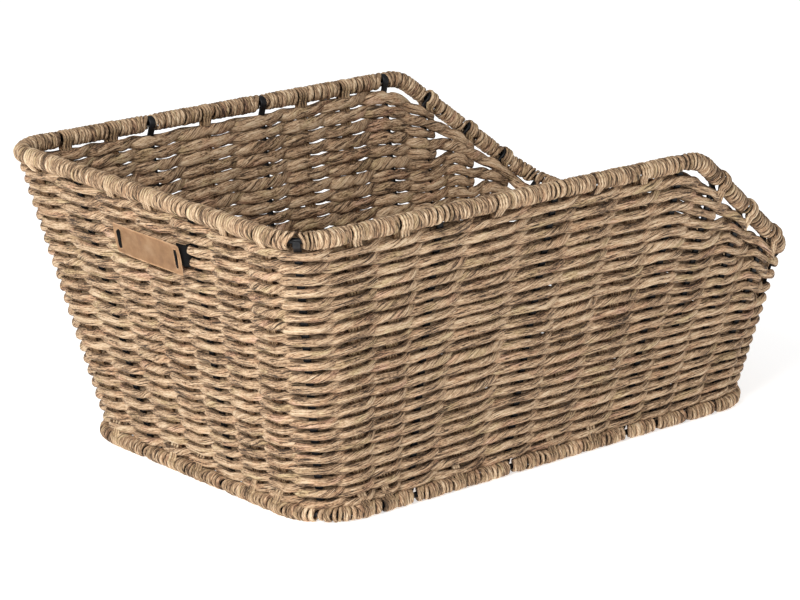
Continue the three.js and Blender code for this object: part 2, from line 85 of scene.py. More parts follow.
PLAN_ROUND = 8.0
RING_STEPS = 3200
RING_HEIGHT = 5.25
RING_OUTSET = 4.5
RIM_HEIGHT = 200.0
WALL_FOOT = {"rear": -182.0, "front": 211.0, "rear_half": 124.0, "front_half": 109.5, "corner": 32.5}
WALL_TOP = {"rear": -225.0, "front": 237.03, "rear_half": 157.0, "front_half": 157.0, "corner": 26.0}
WIRE_RADIUS = 1.9
WIRE_SIDES = 12
BASE_WIRE_STEP = 6.0
BAKE_MARGIN = 1.0
SHORTEST_STRIP = 4.0
STEEL_COLOUR = (0.004, 0.004, 0.005)
STEEL_WORN = (0.018, 0.018, 0.020)
UPRIGHT = np.array([0.0, 0.0, 1.0])
PLACES = np.linspace(0.0, PLAN_ROUND, RING_STEPS + 1)


def unit(vectors):
    """The vectors at length one."""
    return vectors / np.linalg.norm(vectors, axis=-1, keepdims=True)


def square_to(vectors, along):
    """The vectors turned square to a direction, at length one."""
    return unit(vectors - along * np.sum(vectors * along, axis=-1, keepdims=True))


def directions(path, closed=False):
    """A path's direction at each of its points."""
    if closed:
        return unit(np.roll(path, -1, axis=0) - np.roll(path, 1, axis=0))
    return unit(np.gradient(path, axis=0))


def lengths_along(path):
    """How far along a path each of its points lies."""
    return np.concatenate([[0.0], np.cumsum(np.linalg.norm(np.diff(path, axis=0), axis=1))])


def read_path(at, length, vectors):
    """Vectors of a path, read at distances along it."""
    return np.stack([np.interp(at, length, column) for column in vectors.T], axis=-1)


def outward(place):
    """Level direction out of the wall at a place on the plan.

    Places run once round from 0 to 8, counter-clockwise from the near side's rear. Each wall and each rounded
    corner takes up one: the near side, its front corner, the front, and so on.
    """
    part = np.floor(place)
    turned = np.where(part % 2 == 1, place - part, 0.0)
    angle = np.radians(90.0 * (np.floor(part / 2) - 1 + turned))
    return np.stack([np.cos(angle), np.sin(angle), np.zeros_like(angle)], axis=-1)


def wall_point(place, height, offset=0.0):
    """Points on the flaring wall's middle surface, or an offset outside it."""
    place, height, offset = (np.asarray(each, float) for each in np.broadcast_arrays(place, height, offset))
    rise = (height - RING_HEIGHT) / (RIM_HEIGHT - RING_HEIGHT)
    size = {name: foot + (WALL_TOP[name] - foot) * rise for name, foot in WALL_FOOT.items()}
    corner = size["corner"]
    front, rear = size["front"] - corner, size["rear"] + corner
    front_half, rear_half = size["front_half"] - corner, size["rear_half"] - corner
    corners = ((front, -front_half), (front, front_half), (rear, rear_half), (rear, -rear_half))
    centres = np.moveaxis(np.array(corners), 1, -1)
    part = (np.floor(place) % PLAN_ROUND).astype(int)
    wall = part // 2
    here = np.take_along_axis(centres, wall[None, ..., None], axis=0)[0]
    before = np.take_along_axis(centres, ((wall + 3) % 4)[None, ..., None], axis=0)[0]
    along = np.where(part % 2 == 1, 1.0, place - np.floor(place))[..., None]
    flat = np.concatenate([before + (here - before) * along, height[..., None]], axis=-1)
    return flat + outward(place) * (corner + offset)[..., None]


def closed_ring(points, upward):
    """A ring's length so far and its centre, outward, upward and along directions, at the plan's steps."""
    along = directions(points[:-1], closed=True)
    along = np.vstack([along, along[:1]])
    up = square_to(upward, along)
    return lengths_along(points), (points, np.cross(along, up), up, along)


def ring_at(ring, distance):
    """The ring's centre and its outward, upward and along directions, read at distances along it."""
    length, vectors = ring
    return [read_path(np.mod(distance, length[-1]), length, each) for each in vectors]


def ring_distance(ring, place):
    """How far along the ring a place on the plan lies."""
    length = ring[0]
    rounds = np.floor(np.asarray(place) / PLAN_ROUND)
    return np.interp(place - PLAN_ROUND * rounds, PLACES, length) + rounds * length[-1]


def spokes(sides):
    """The angles of a section's points."""
    return np.arange(sides) * (2 * math.pi / sides)


def round_section(sides, half_width, half_thickness):
    """An elliptic section, or one for each of a column of sizes."""
    across, thick = half_width * np.cos(spokes(sides)), half_thickness * np.sin(spokes(sides))
    return np.stack(np.broadcast_arrays(across, thick), axis=-1)


def sweep(path, wide, section, closed=False):
    """Rings of points: a section of [across, thick] offsets carried along a path."""
    along = directions(path, closed)
    wide = square_to(wide, along)
    thick = np.cross(along, wide)
    return path[:, None] + wide[:, None] * section[..., 0:1] + thick[:, None] * section[..., 1:2]


def strand(rings, closed=False, lay=0.0, tone=0.0, painted_shade=0.0):
    """One strand's rings, its tone and its painted shade at grooves and edges, and how far its fibres wind
    round, at each ring or per mm.
    """
    tone = np.broadcast_to(np.reshape(tone, (-1, 1)), rings.shape[:2])
    painted_shade = np.broadcast_to(painted_shade, rings.shape[:2])
    return {"rings": rings, "closed": closed, "lay": lay, "tone": tone, "painted_shade": painted_shade}


def quad_places(near, far, low, high, near_row, far_row):
    """Places on a map of the four corners of quads, in the order of their loops."""
    corners = ((near, low + near_row), (near, high + near_row), (far, high + far_row), (far, low + far_row))
    return np.stack([np.stack(corner, axis=1) for corner in corners], axis=1).reshape(-1, 2)


def strand_mesh(name, strands):
    """One mesh from strands, with a map along their fibres, a map for baking, and their tones and painted
    shade.

    On the map for baking, the strands end to end are cut into strips of one length, laid side by side.
    """
    lengths, girths = [], []
    for part in strands:
        rings = np.concatenate([part["rings"], part["rings"][:1]]) if part["closed"] else part["rings"]
        lengths.append(lengths_along(rings.mean(axis=1)))
        edge = np.linalg.norm(np.roll(rings, -1, axis=1) - rings, axis=2).sum(axis=1)
        girths.append(float(edge.max()))
    girth = max(girths)
    total = sum(float(length[-1]) for length in lengths)
    strip_length = max(math.sqrt(total * (girth + BAKE_MARGIN)), SHORTEST_STRIP)
    corners, starts, fibre, bake = [], [], [], []
    vertex_count, loop_count, start = 0, 0, 0.0
    for part, along, own_girth in zip(strands, lengths, girths):
        count, sides = part["rings"].shape[:2]
        i, j = np.divmod(np.arange((len(along) - 1) * sides), sides)
        here, after, beside = i * sides, (i + 1) % count * sides, (j + 1) % sides
        quads = np.stack([here + j, here + beside, after + beside, after + j], axis=1)
        corners.append((quads + vertex_count).ravel())
        starts.append(loop_count + 4 * np.arange(len(quads)))
        loop_count += 4 * len(quads)
        low = j * own_girth / sides
        high = (j + 1) * own_girth / sides
        wound = np.resize(part["lay"], len(along)) if np.ndim(part["lay"]) else part["lay"] * along
        fibre.append(quad_places(along[i], along[i + 1], low, high, wound[i], wound[i + 1]))
        first = start + along[:-1]
        strip = np.floor(first / strip_length)
        near = first - strip * strip_length
        far = near + np.diff(along)
        line = strip * (girth + BAKE_MARGIN)
        bake.append(quad_places(near[i], far[i], low, high, line[i], line[i]))
        if not part["closed"]:
            cap = round_section(sides, 0.4 * BAKE_MARGIN, 0.4 * BAKE_MARGIN)
            for order, end, x, row in ((-1, 0, near[0], line[0]), (1, count - 1, far[-1], line[-1])):
                ring = np.arange(sides)[::order]
                corners.append(vertex_count + end * sides + ring)
                starts.append(np.array([loop_count]))
                loop_count += sides
                fibre.append(cap[ring] + [along[-1] if end else 0.0, 0.0])
                bake.append(cap[ring] + [x, row + girth + 0.5 * BAKE_MARGIN])
        vertex_count += count * sides
        start += along[-1]
    points = np.concatenate([part["rings"].reshape(-1, 3) for part in strands]) * METRES
    places = np.concatenate(bake) + BAKE_MARGIN
    places /= places.max() + BAKE_MARGIN
    loops = np.concatenate(corners)
    polygons = np.concatenate(starts)
    mesh = bpy.data.meshes.new(name)
    mesh.vertices.add(len(points))
    mesh.vertices.foreach_set("co", points.astype(np.float32).ravel())
    mesh.loops.add(len(loops))
    mesh.loops.foreach_set("vertex_index", loops.astype(np.int32))
    mesh.polygons.add(len(polygons))
    mesh.polygons.foreach_set("loop_start", polygons.astype(np.int32))
    for map_name, values in (("fibre", np.concatenate(fibre)), ("OFBake", places)):
        layer = mesh.uv_layers.new(name=map_name)
        layer.data.foreach_set("uv", values.astype(np.float32).ravel())
    # Stores each strand's random tone and its painted shade, darker in grooves and at edges.
    for field in ("tone", "painted_shade"):
        values = np.concatenate([part[field].ravel() for part in strands])
        attribute = mesh.attributes.new(name=field, type="FLOAT", domain="POINT")
        attribute.data.foreach_set("value", values.astype(np.float32))
    mesh.update(calc_edges=True)
    mesh.polygons.foreach_set("use_smooth", np.ones(len(polygons), bool))
    return mesh


def place_piece(name, shape, material, slot, *nodes):
    """Puts a mesh, or strands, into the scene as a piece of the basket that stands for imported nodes."""
    mesh = strand_mesh(name, shape) if isinstance(shape, list) else shape
    mesh.materials.append(material)
    piece = add_object(name, mesh)
    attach(piece, "root")
    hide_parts(*nodes)


def start_material(name):
    """Makers of a material's nodes. Each gives one output of its node, and surface gives the material."""
    material = bpy.data.materials.new(name)
    material.use_nodes = True
    tree = material.node_tree

    def fill(target, inputs):
        for key, value in inputs.items():
            if isinstance(value, bpy.types.NodeSocket):
                tree.links.new(value, target.inputs[key])
            else:
                target.inputs[key].default_value = value

    def node(kind, inputs=None, output=0, **settings):
        made = tree.nodes.new("ShaderNode" + kind)
        for key, value in settings.items():
            setattr(made, key, value)
        fill(made, inputs or {})
        return made.outputs[output]

    def calc(operation, *values):
        return node("Math", dict(enumerate(values)), operation=operation)

    def remap(value, low, high, first=0.0, last=1.0):
        ends = {"From Min": first, "From Max": last, "To Min": low, "To Max": high}
        return node("MapRange", {"Value": value, **ends})

    def ramp(factor, *stops):
        output = node("ValToRGB", {"Fac": factor})
        elements = output.node.color_ramp.elements
        for element, (position, colour) in zip(elements, (stops[0], stops[-1])):
            element.position = position
            element.color = (*colour, 1.0)
        for position, colour in stops[1:-1]:
            elements.new(position).color = (*colour, 1.0)
        return output

    def surface(inputs):
        fill(tree.nodes["Principled BSDF"], inputs)
        return material

    return node, calc, remap, ramp, surface


def coated_steel():
    """Black powder coating: fine orange peel, a little worn grey where it rubs."""
    node, _, remap, ramp, surface = start_material("black_coated_steel")
    where = node("TexCoord", output="Object")
    peel = node("TexNoise", {"Vector": where, "Scale": 1400.0, "Detail": 3.0})
    worn = node("TexNoise", {"Vector": where, "Scale": 160.0, "Detail": 4.0})
    return surface({
        "Base Color": ramp(worn, (0.45, STEEL_COLOUR), (0.8, STEEL_WORN)),
        "Roughness": remap(worn, 0.34, 0.6),
        "Normal": node("Bump", {"Height": peel, "Strength": 0.25, "Distance": 0.0002}),
        "Specular IOR Level": 0.3,
    })


def wire(ring, spacing):
    """A round wire along a whole ring."""
    total = ring[0][-1]
    count = int(total / spacing)
    centre, out, _, _ = ring_at(ring, np.arange(count) * total / count)
    rings = sweep(centre, out, round_section(WIRE_SIDES, WIRE_RADIUS, WIRE_RADIUS), closed=True)
    return [strand(rings, closed=True)]


base_ring = closed_ring(wall_point(PLACES, RING_HEIGHT, RING_OUTSET), UPRIGHT)
steel = coated_steel()
place_piece("base_ring_wire", wire(base_ring, BASE_WIRE_STEP), steel, "black_steel", "base_wire")

# Base ring wrapping: one twisted plant-fibre cord wound closely round the wire, turn against turn.
# It parts at each stake: a steel stake leaves a dark notch, and a cord stake's own cords fill it.

SEED = 41
CORD_TURN = 3.0
CORD_TURN_SPREAD = 0.55
WIDEST_TURN = 1.5
CORD_THICKNESS = 2.3
CORD_OVERLAP = 1.12
TURN_STEPS = 20
TURN_SIDES = 8
SLANT_RANGE = (-0.2, 1.4)
TUCK_ANGLE = 110.0
TUCK_TURNS = 0.3
TUCK_DEPTH = 2.6
LEAN_MIDDLE = 0.7
LEAN_SWING = 0.83
LEAN_START = 0.7
LEAN_TURNS = 1.2
GROUP_TURNS = 3
GROUP_LIFT = 0.22
LIFT_SPREAD = 0.2
NIP_DEPTH = 0.5
NIP_LENGTH = 3.5
WRAP_LAY = 0.4
LASHING_CORDS = 3
LASHING_CORD = 2.3
LASHING_OVERLAP = 1.08
LASHING_SWEEP = 128.0
LASHING_STEPS = 19
LASHING_SPLAY = (0.4, 1.5)
LASHING_STRAY = (1.5, 4.5)
LASHING_LIFT = (-0.15, 0.25)
LASHING_APART = 0.45
LASHING_RUN_IN = 0.2
LASHING_LAY = 0.2
BASE_SLANT = 2.2
BASE_WRAP_RADIUS = 5.2
BASE_NOTCH_HALF = 2.3
BASE_BAR_NOTCH_HALF = 0.8
BASE_CLOSING_SHARE = 1.1
BASE_CLOSING_TOWARD = -40.0
BASE_LASHING_TOP = 18.0
# Painted shade: how much darker each cord is painted at its two edges.
PAINTED_EDGE_SHADE = 0.32
# Painted shade: how dark the thin crease lines in the fibre are painted.
PAINTED_CREASE_SHADE = 0.45
FLECK = 0.32
TONE_SHARE = 0.14
FIBRE_STOPS = (0.0, 0.25, 0.6, 1.0)
WRAP_FIBRES = ((0.042, 0.025, 0.014), (0.240, 0.146, 0.082), (0.470, 0.320, 0.195), (0.740, 0.590, 0.410))
TINT_NONE = (1.0, 0.98, 0.95)
TINT_PINK = (1.0, 0.89, 0.91)
TINT_OLIVE = (0.94, 0.96, 0.84)
TINT_ORANGE = (1.0, 0.91, 0.84)
TINTS = ((0.34, TINT_OLIVE), (0.44, TINT_NONE), (0.54, TINT_NONE), (0.61, TINT_ORANGE), (0.68, TINT_PINK))

# Stakes by their places on the plan, at the rim and at the foot, and their kind. The two sides are alike.
SIDE_STAKES = [
    (0.045, 0.005, "cord"), (0.14, 0.065, "cord"), (0.22, 0.135, "steel"), (0.335, 0.25, "cord"),
    (0.455, 0.395, "steel"), (0.54, 0.505, "cord"), (0.635, 0.62, "cord"), (0.725, 0.725, "steel"),
    (0.81, 0.81, "steel"), (0.90, 0.90, "steel"), (0.985, 0.985, "steel"),
]
END_STAKES = [
    (0.015, "cord"), (0.16, "cord"), (0.315, "steel"), (0.475, "cord"), (0.63, "cord"), (0.80, "steel"),
    (0.985, "cord"),
]
STAKES = sorted(
    [(2 + at, 2 + at, kind) for at, kind in END_STAKES]
    + [(5 - at, 5 - foot, kind) for at, foot, kind in SIDE_STAKES]
    + [(7 - at, 7 - at, kind) for at, kind in END_STAKES]
    + [(8 + at, 8 + foot, kind) for at, foot, kind in SIDE_STAKES]
    + [(corner, corner, "steel") for corner in (3.5, 5.5, 7.5, 9.5)]
)


def cord_material(name, colours, fibre_width, relief):
    """Twisted plant fibre: fine streaks, painted shade in its creases, grooves and edges, and stretches that
    turn pink, olive or orange.
    """
    node, calc, remap, ramp, surface = start_material(name)
    place = node("UVMap", uv_map="fibre")
    tone, painted_shade = (node("Attribute", output="Fac", attribute_name=field) for field in ("tone", "painted_shade"))

    def streaks(length, width, detail):
        where = node("VectorMath", {0: place, 1: (1.0 / length, 1.0 / width, 0.0)}, operation="MULTIPLY")
        return node("TexNoise", {"Vector": where, "Scale": 1.0, "Detail": detail, "Roughness": 0.7})

    fine = streaks(9.0, fibre_width, 3.0)
    plies = streaks(22.0, 3.0 * fibre_width, 2.0)
    flecks = streaks(2.2, 0.7 * fibre_width, 1.0)
    painted_creases = streaks(14.0, 1.7 * fibre_width, 1.0)
    patches = streaks(34.0, 18.0, 2.0)
    toned = calc("MULTIPLY_ADD", tone, TONE_SHARE, remap(calc("ADD", fine, plies), 0.0, 1.0, 0.73, 1.23))
    flecked = calc("ADD", toned, remap(flecks, -FLECK, FLECK, 0.3, 0.7))
    # Painted shade: thin dark lines in the fibre's creases, plus each strand's painted shade in its grooves
    # and at its edges.
    dark = calc("ADD", remap(painted_creases, PAINTED_CREASE_SHADE, 0.0, 0.34, 0.44), painted_shade)
    fibre = ramp(calc("SUBTRACT", flecked, dark), *zip(FIBRE_STOPS, colours))
    tint = ramp(patches, *TINTS)
    height = calc("MULTIPLY_ADD", plies, 0.9, fine)
    return surface({
        "Base Color": node("Mix", {0: 1.0, 6: fibre, 7: tint}, 2, data_type="RGBA", blend_type="MULTIPLY"),
        "Roughness": remap(fine, 0.85, 0.6),
        "Normal": node("Bump", {"Height": height, "Strength": 0.9, "Distance": relief * METRES}),
        "Specular IOR Level": 0.35,
    })


def painted_edge_shade(sides):
    """Painted shade: how much darker a cord is painted towards its two edges, where no light gets."""
    return PAINTED_EDGE_SHADE * np.abs(np.cos(spokes(sides))) ** 4


def wound_cord(ring, span, closings, radius, slant, rng):
    """One cord wound round a ring between two distances along it, with both its ends tucked in.

    Its end turns lean over the stake beside them, by an amount and towards a side of the ring in degrees.
    """
    first = span[0] + 0.5 * CORD_TURN
    last = span[1] - 0.5 * CORD_TURN
    turns = max(round((last - first) / CORD_TURN), 1)
    widths = 1.0 + CORD_TURN_SPREAD * rng.uniform(-1.0, 1.0, turns)
    edges = np.concatenate([[0.0], np.cumsum(widths)])
    edges = first + edges * (last - first) / edges[-1]
    turn = np.linspace(0.0, turns, turns * TURN_STEPS + 1)
    marks = np.arange(turns + 1)
    angle = 2 * math.pi * turn - math.radians(TUCK_ANGLE)
    slants = slant * np.interp(turn, marks, rng.uniform(*SLANT_RANGE, turns + 1))
    middle = np.interp(turn, marks, edges)
    distance = middle + slants * np.sin(angle - math.radians(TUCK_ANGLE))
    for (amount, toward), sign, count in ((closings[0], -1.0, turn), (closings[1], 1.0, turns - turn)):
        lean = np.clip(LEAN_MIDDLE + LEAN_SWING * np.cos(angle - math.radians(toward)), 0.0, 1.0)
        distance = distance + sign * amount * lean * np.exp(-np.maximum(count - LEAN_START, 0.0) / LEAN_TURNS)
    group = np.abs(((marks + rng.integers(GROUP_TURNS)) % GROUP_TURNS) - 1.0)
    lifts = GROUP_LIFT * (1.0 - group) + rng.uniform(-LIFT_SPREAD, LIFT_SPREAD, turns + 1)
    tuck = np.clip(np.minimum(turn, turns - turn) / TUCK_TURNS, 0.0, 1.0)
    nip = NIP_DEPTH * (np.exp((first - middle) / NIP_LENGTH) + np.exp((middle - last) / NIP_LENGTH))
    lift = np.interp(turn, marks, lifts)
    reach = radius - 0.5 * CORD_THICKNESS + lift - nip - TUCK_DEPTH * (1.0 - tuck) ** 2
    centre, out, up, along = ring_at(ring, distance)
    path = centre + (out * np.cos(angle)[:, None] + up * np.sin(angle)[:, None]) * reach[:, None]
    half_width = 0.5 * CORD_OVERLAP * np.minimum(np.gradient(middle, turn), WIDEST_TURN * CORD_TURN)
    rings = sweep(path, along, round_section(TURN_SIDES, half_width[:, None], 0.5 * CORD_THICKNESS))
    tones = np.interp(turn, marks, rng.normal(size=turns + 1))
    return strand(rings, lay=WRAP_LAY, tone=tones, painted_shade=painted_edge_shade(TURN_SIDES))


def wound_ring(ring, gaps, radius, slant, rng):
    """The cords wound round a ring, parting at each stake by [distance, before, after, lean, toward]."""
    total = ring[0][-1]
    made = []
    for here, after in zip(gaps, gaps[1:] + [[gaps[0][0] + total, *gaps[0][1:]]]):
        span = (here[0] + here[2], after[0] - after[1])
        made.append(wound_cord(ring, span, (here[3:], after[3:]), radius, slant, rng))
    return made


def smooth_path(points, steps):
    """A curve through the points, with steps between each two."""
    ends = np.vstack([2 * points[0] - points[1], points, 2 * points[-1] - points[-2]])
    t = np.linspace(0.0, 1.0, steps, endpoint=False)[:, None, None]
    a, b, c, d = ends[:-3], ends[1:-2], ends[2:-1], ends[3:]
    square, cube = 2 * a - 5 * b + 4 * c - d, 3 * b - a - 3 * c + d
    curve = 0.5 * (2 * b + (c - a) * t + square * t ** 2 + cube * t ** 3)
    return np.vstack([curve.transpose(1, 0, 2).reshape(-1, 3), points[-1:]])


def lashing(ring, distance, foot, radius, rng):
    """A stake's cords taken side by side round a ring. Both ends go into the wall at the stake's foot."""
    made = []
    to_foot = unit(foot - ring_at(ring, distance)[0])
    splay = rng.uniform(*LASHING_SPLAY)
    stray = rng.uniform(*LASHING_STRAY) * rng.choice((-1.0, 1.0))
    angle = np.radians(np.linspace(-LASHING_SWEEP, LASHING_SWEEP, LASHING_STEPS))[:, None]
    section = round_section(TURN_SIDES, 0.5 * LASHING_CORD * LASHING_OVERLAP, 0.5 * CORD_THICKNESS)
    for k in range(LASHING_CORDS):
        aside = (k - 0.5 * (LASHING_CORDS - 1)) * LASHING_CORD
        centre, _, _, along = ring_at(ring, distance + aside)
        away = -square_to(to_foot, along)
        side = np.cross(along, away)
        reach = radius - 0.5 * CORD_THICKNESS + rng.uniform(*LASHING_LIFT)
        bow = centre + reach * (np.cos(angle) * away + np.sin(angle) * side)
        start, end = (
            foot + along * (aside * splay + late * stray) + side * sign * LASHING_APART * CORD_THICKNESS
            for sign, late in ((-1.0, 0.0), (1.0, 1.0))
        )
        run_in, run_out = (own + (own - centre) * LASHING_RUN_IN for own in (start, end))
        path = smooth_path(np.vstack([run_in, start, bow, end, run_out]), 3)
        rings = sweep(path, along, section)
        made.append(strand(rings, lay=LASHING_LAY, tone=rng.normal(), painted_shade=painted_edge_shade(TURN_SIDES)))
    return made


wrap_cord = cord_material("wound_cord", WRAP_FIBRES, 0.75, 0.45)
rng = np.random.default_rng(SEED)
base_distances = ring_distance(base_ring, np.array([foot for _, foot, _ in STAKES]))
base_gaps = []
for (_, _, kind), distance in zip(STAKES, base_distances):
    half = BASE_NOTCH_HALF if kind == "cord" else BASE_BAR_NOTCH_HALF
    base_gaps.append([distance, half, half, BASE_CLOSING_SHARE * half, BASE_CLOSING_TOWARD])
base_cords = wound_ring(base_ring, base_gaps, BASE_WRAP_RADIUS, BASE_SLANT, rng)
for (_, foot, kind), distance in zip(STAKES, base_distances):
    if kind == "cord":
        base_cords += lashing(base_ring, distance, wall_point(foot, BASE_LASHING_TOP), BASE_WRAP_RADIUS, rng)
place_piece("base_ring_wrapping", base_cords, wrap_cord, "woven_cord", "base_wrap")

# Stakes: flat black steel bars and flat bundles of brown cord. Each runs down one wall, under the
# floor and up the wall across from it. A steel one is bent over the rim wire in a hook at both ends.

FRONT_RIM_HEIGHT = 110.0
RIM_FRONT = 225.0
RIM_RADIUS = 6.0
RIM_ROUNDS = 12
SLOPE_START = 113.0
SLOPE_BEND_RADIUS = 30.0
HOOK_REACH = 8.2
HOOK_RADIUS = 4.2
HOOK_TOP = 70.0
CORNER_HOOK_TOP = 25.0
HOOK_FOOT = -50.0
HOOK_STEPS = 12
WALL_STEPS = 40
BEND_STEPS = 8
FLOOR_STEPS = 60
STEEL_WIDTH = 5.0
STEEL_THICKNESS = 2.2
BAR_SIDES = 12
BAR_ROUNDING = 0.45
BUNDLE_CORDS = 4
STAKE_CORD_WIDTH = 2.3
STAKE_CORD_THICKNESS = 2.2
STAKE_CORD_HALF = 0.54
STAKE_CORD_STRAY = 0.25
STRAY_KNOTS = 12
STAKE_LAY = 0.5
CROSS_LEVEL = 4.6
LONG_LEVEL = 7.5
FLOOR_BEND = 5.0
STAKE_FIBRES = ((0.040, 0.020, 0.010), (0.160, 0.085, 0.040), (0.330, 0.200, 0.105), (0.560, 0.400, 0.240))

slope_angle = math.atan2(RIM_HEIGHT - FRONT_RIM_HEIGHT, RIM_FRONT - SLOPE_START)
bend_reach = SLOPE_BEND_RADIUS * math.tan(slope_angle / 2)


def rim_profile(x):
    """The rim's height seen from the side: level, a bend, then a straight slope down to the front."""
    start = SLOPE_START - bend_reach
    end = SLOPE_START + bend_reach * math.cos(slope_angle)
    drop = SLOPE_BEND_RADIUS - np.sqrt(np.maximum(SLOPE_BEND_RADIUS ** 2 - (x - start) ** 2, 0.0))
    slope = RIM_HEIGHT - math.tan(slope_angle) * (x - SLOPE_START)
    return np.where(x <= start, RIM_HEIGHT, np.where(x >= end, slope, RIM_HEIGHT - drop))


def rim_point(place):
    """Points of the rim's centreline. The wall leans, so the height is found in rounds."""
    height = np.full(np.shape(place), RIM_HEIGHT)
    for _ in range(RIM_ROUNDS):
        height = rim_profile(wall_point(place, height)[..., 0])
    return wall_point(place, height)


def wall_upward(place):
    """Upward along the wall."""
    return unit(wall_point(place, RIM_HEIGHT) - wall_point(place, RING_HEIGHT))


rim_ring = closed_ring(rim_point(PLACES), wall_upward(PLACES))


def at_corner(place):
    """Whether a stake stands at a rounded corner."""
    return int(place) % 2 == 1


def stake_top(place, foot):
    """Where a stake reaches the rim, its upward direction, its bend's reach and the bend's distance."""
    distance = ring_distance(rim_ring, place)
    top = rim_point(place)
    upward = unit(top - wall_point(foot, RING_HEIGHT))
    _, _, up, along = ring_at(rim_ring, distance)
    reach = HOOK_REACH / np.dot(up, upward)
    hook = distance - reach * np.dot(upward, along)
    return top, upward, reach, hook


def stake_place(place, foot, height):
    """The place of a leaning stake at a height."""
    return foot + (place - foot) * (np.asarray(height) - RING_HEIGHT) / (rim_point(place)[2] - RING_HEIGHT)


def stake_wall_path(place, foot, kind, bottom):
    """A stake from the rim down to a height, with the direction of its width at each point."""
    top, upward, reach, hook = stake_top(place, foot)
    wide = np.cross(UPRIGHT, outward(place))
    points, widths = [], []
    if kind == "steel":
        centre, out, up, along = ring_at(rim_ring, hook)
        side, start = (1.0, CORNER_HOOK_TOP) if at_corner(place) else (-1.0, HOOK_TOP)
        for angle in np.radians(np.linspace(start, HOOK_FOOT, HOOK_STEPS)):
            points.append(centre + HOOK_RADIUS * (side * math.cos(angle) * out + math.sin(angle) * up))
            widths.append(along)
        straight_top = top - upward * reach
        points.append(straight_top)
        widths.append(wide)
    else:
        straight_top = top - upward * (RIM_RADIUS - CORD_THICKNESS)
    heights = np.linspace(straight_top[2], bottom, WALL_STEPS)[1 if kind == "steel" else 0:]
    points += list(wall_point(stake_place(place, foot, heights), heights))
    widths += [wide] * len(heights)
    return points, widths


def floor_bend(place, foot, level):
    """Turns from the wall's foot into the floor."""
    start = wall_point(stake_place(place, foot, level + FLOOR_BEND), level + FLOOR_BEND)
    angle = np.radians(np.linspace(0.0, 90.0, BEND_STEPS)[1:])[:, None]
    return list(start + FLOOR_BEND * ((np.cos(angle) - 1) * outward(place) - np.sin(angle) * UPRIGHT))


def hoop_path(places, feet, kind, level):
    """A stake down one wall, under the floor and up the wall across from it."""
    sides = []
    for place, foot in zip(places, feet):
        points, widths = stake_wall_path(place, foot, kind, level + FLOOR_BEND)
        bend = floor_bend(place, foot, level)
        widths += [widths[-1]] * len(bend)
        sides.append((np.array(points + bend), np.array(widths)))
    (down, down_wide), (up, up_wide) = sides
    floor = np.linspace(down[-1], up[-1], FLOOR_STEPS)[1:-1]
    turned = -up_wide[::-1]
    middle = np.linspace(down_wide[-1], turned[0], len(floor))
    return np.vstack([down, floor, up[::-1]]), np.vstack([down_wide, middle, turned])


def bar_section(half_width, half_thickness):
    """A flat bar with rounded edges."""
    angle = (np.arange(BAR_SIDES) + 0.5) * (2 * math.pi / BAR_SIDES)
    rounded = [np.sign(f(angle)) * np.abs(f(angle)) ** BAR_ROUNDING for f in (np.cos, np.sin)]
    return np.stack([half_width * rounded[0], half_thickness * rounded[1]], axis=-1)


def stake_strands(path, wide, kind, rng):
    """The bar of a steel stake, or the four cords of a cord stake."""
    if kind == "steel":
        return [strand(sweep(path, wide, bar_section(0.5 * STEEL_WIDTH, 0.5 * STEEL_THICKNESS)))]
    made = []
    level = square_to(wide, directions(path))
    count = len(path)
    section = round_section(TURN_SIDES, STAKE_CORD_HALF * STAKE_CORD_WIDTH, 0.5 * STAKE_CORD_THICKNESS)
    for k in range(BUNDLE_CORDS):
        aside = (k - 0.5 * (BUNDLE_CORDS - 1)) * STAKE_CORD_WIDTH
        strays = rng.uniform(-STAKE_CORD_STRAY, STAKE_CORD_STRAY, STRAY_KNOTS)
        stray = np.interp(np.arange(count), np.linspace(0, count, STRAY_KNOTS), strays)
        rings = sweep(path + level * (aside + stray)[:, None], wide, section)
        made.append(strand(rings, lay=STAKE_LAY, tone=rng.normal()))
    return made


stake_cord = cord_material("stake_cord", STAKE_FIBRES, 0.55, 0.3)


def make_stake(name, path, wide, kind, rng):
    """One stake as a piece."""
    material, slot = (steel, "black_steel") if kind == "steel" else (stake_cord, "stake_cord")
    place_piece("stave_" + name, stake_strands(path, wide, kind, rng), material, slot, name)


for index, (at, foot, kind) in enumerate(SIDE_STAKES, 1):
    path, wide = hoop_path((at, 5 - at), (foot, 5 - foot), kind, CROSS_LEVEL)
    make_stake(f"cross_stake_{index:02d}", path, wide, kind, rng)
for index, (at, kind) in enumerate(END_STAKES, 1):
    path, wide = hoop_path((7 - at, 2 + at), (7 - at, 2 + at), kind, LONG_LEVEL)
    make_stake(f"long_stake_{index:02d}", path, wide, kind, rng)
for index, place in enumerate((1.5, 3.5, 5.5, 7.5), 1):
    points, widths = stake_wall_path(place, place, "steel", CROSS_LEVEL)
    make_stake(f"corner_stake_{index:02d}", np.array(points), np.array(widths), "steel", rng)

# Floor: bands of cords laid side by side between the lengthwise stakes, over one crosswise stake
# and under the next, each band opposite to the one beside it.

BAND_CORD = 3.0
BAND_CORD_HALF = 0.52
BAND_THICKNESS = 2.1
BAND_LIFT = 2.85
BAND_END = 12.0
BAND_CLEAR = 4.0
BAND_STEPS = 160
BAND_WANDER = 0.3
WANDER_KNOTS = 20
BAND_LAY = 0.3
FLOOR_EDGE = 7.6

